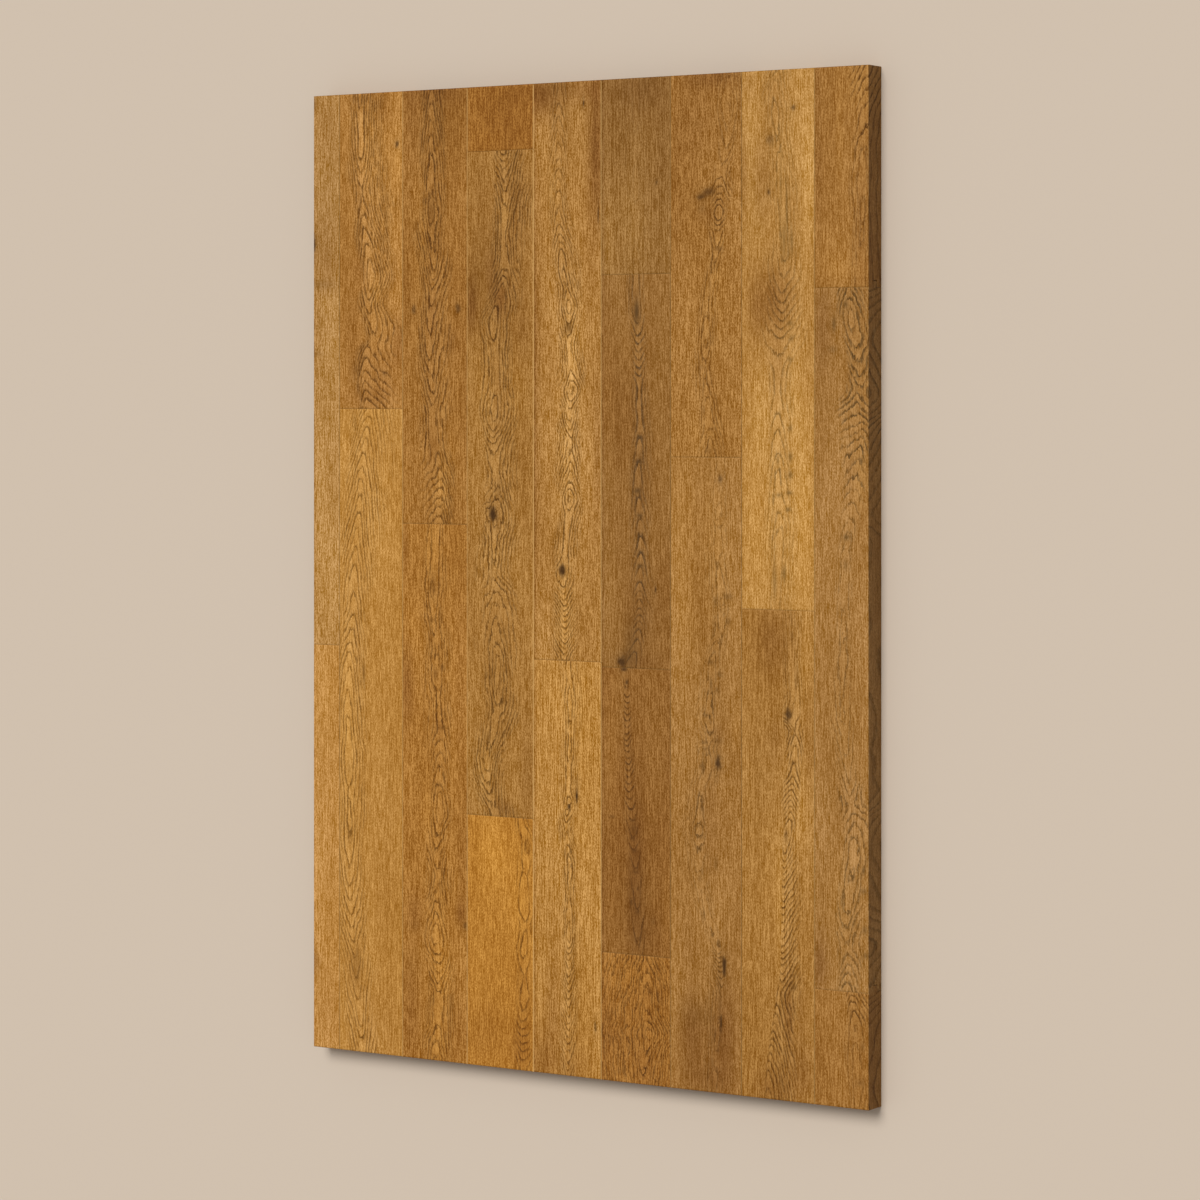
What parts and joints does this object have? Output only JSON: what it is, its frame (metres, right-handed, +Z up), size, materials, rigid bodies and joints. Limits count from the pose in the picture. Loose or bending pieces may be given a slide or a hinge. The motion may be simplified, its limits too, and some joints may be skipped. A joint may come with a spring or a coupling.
{
  "type": "parquet floorboard",
  "caption": "Rectangular parquet board of tongued and grooved solid oak strips with random butt joints, glued up flat and sawn square, to be laid as flooring.",
  "frame": {"origin": "middle of the flat back, on the surface that the board lies on", "axes": "+Z up out of the finished face, +Y along the strips and their grain, +X across the courses"},
  "size_m": [0.57, 0.86, 0.022],
  "materials": {
    "oak_straw": "stained oak, satin lacquer",
    "oak_honey": "stained oak, satin lacquer",
    "oak_amber": "stained oak, satin lacquer",
    "oak_tan": "stained oak, satin lacquer",
    "oak_brown": "stained oak, satin lacquer"
  },
  "bodies": {
    "root": {"strip_1_lower": "oak_honey", "strip_1_upper": "oak_tan", "strip_2_lower": "oak_honey", "strip_2_upper": "oak_amber", "strip_3_lower": "oak_amber", "strip_3_upper": "oak_amber", "strip_4_lower": "oak_honey", "strip_4_middle": "oak_tan", "strip_4_upper": "oak_amber", "strip_5_lower": "oak_honey", "strip_5_upper": "oak_tan", "strip_6_lower": "oak_tan", "strip_6_lower_middle": "oak_brown", "strip_6_upper_middle": "oak_brown", "strip_6_upper": "oak_tan", "strip_7_lower": "oak_tan", "strip_7_upper": "oak_amber", "strip_8_lower": "oak_amber", "strip_8_upper": "oak_straw", "strip_9_lower": "oak_amber", "strip_9_middle": "oak_amber", "strip_9_upper": "oak_amber"}
  },
  "joints": []
}
